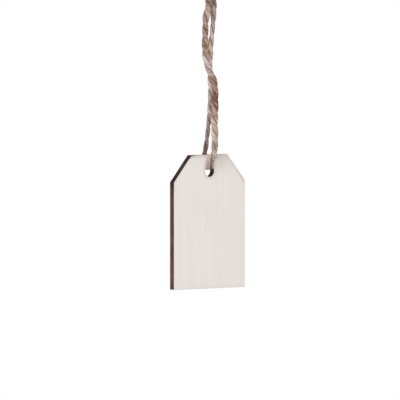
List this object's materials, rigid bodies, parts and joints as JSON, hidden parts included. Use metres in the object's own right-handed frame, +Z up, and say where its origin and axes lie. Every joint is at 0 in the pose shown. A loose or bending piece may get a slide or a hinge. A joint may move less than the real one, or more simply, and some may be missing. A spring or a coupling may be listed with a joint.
{
  "type": "gift tag",
  "caption": "Blank wooden gift tag with clipped upper corners and a round hole, hung on a loop of natural twine that ends in a knotted hanging eye.",
  "frame": {"origin": "top of the twine's hanging eye, on the underside of the knot", "axes": "+Z up along the hanging twine, +X along the tag's width, front face towards -Y"},
  "size_m": [0.04, 0.0106, 0.1723],
  "materials": {
    "face_wood": "pale unfinished veneer, edges browned by the laser cut",
    "core_wood": "dark browned cut edge of the middle ply",
    "jute_twine": "natural hairy jute, plied"
  },
  "bodies": {
    "hanger": {"eye_strand_left": "jute_twine", "eye_strand_right": "jute_twine", "knot": "jute_twine", "tail_left": "jute_twine", "tail_right": "jute_twine"},
    "upper_twine": {"upper_strand_left": "jute_twine", "upper_strand_right": "jute_twine"},
    "lower_twine": {"hole_bight": "jute_twine", "front_strand": "jute_twine", "back_strand": "jute_twine"},
    "tag": {"front_veneer": "face_wood", "core_veneer": "core_wood", "back_veneer": "face_wood"}
  },
  "joints": [
    {"name": "twine_sway", "type": "hinge", "parent": "hanger", "child": "upper_twine", "pos_m": [0, 0, -0.022], "axis": [1, 0, 0], "range_deg": [-60, 60]},
    {"name": "twine_twist", "type": "hinge", "parent": "upper_twine", "child": "lower_twine", "pos_m": [0, 0, -0.04], "axis": [0, 0, 1], "range_deg": [-180, 180], "stiffness_Nm_per_rad": 0.00001},
    {"name": "tag_swing", "type": "hinge", "parent": "lower_twine", "child": "tag", "pos_m": [0, 0, -0.102], "axis": [0, 1, 0], "range_deg": [-40, 40]}
  ]
}
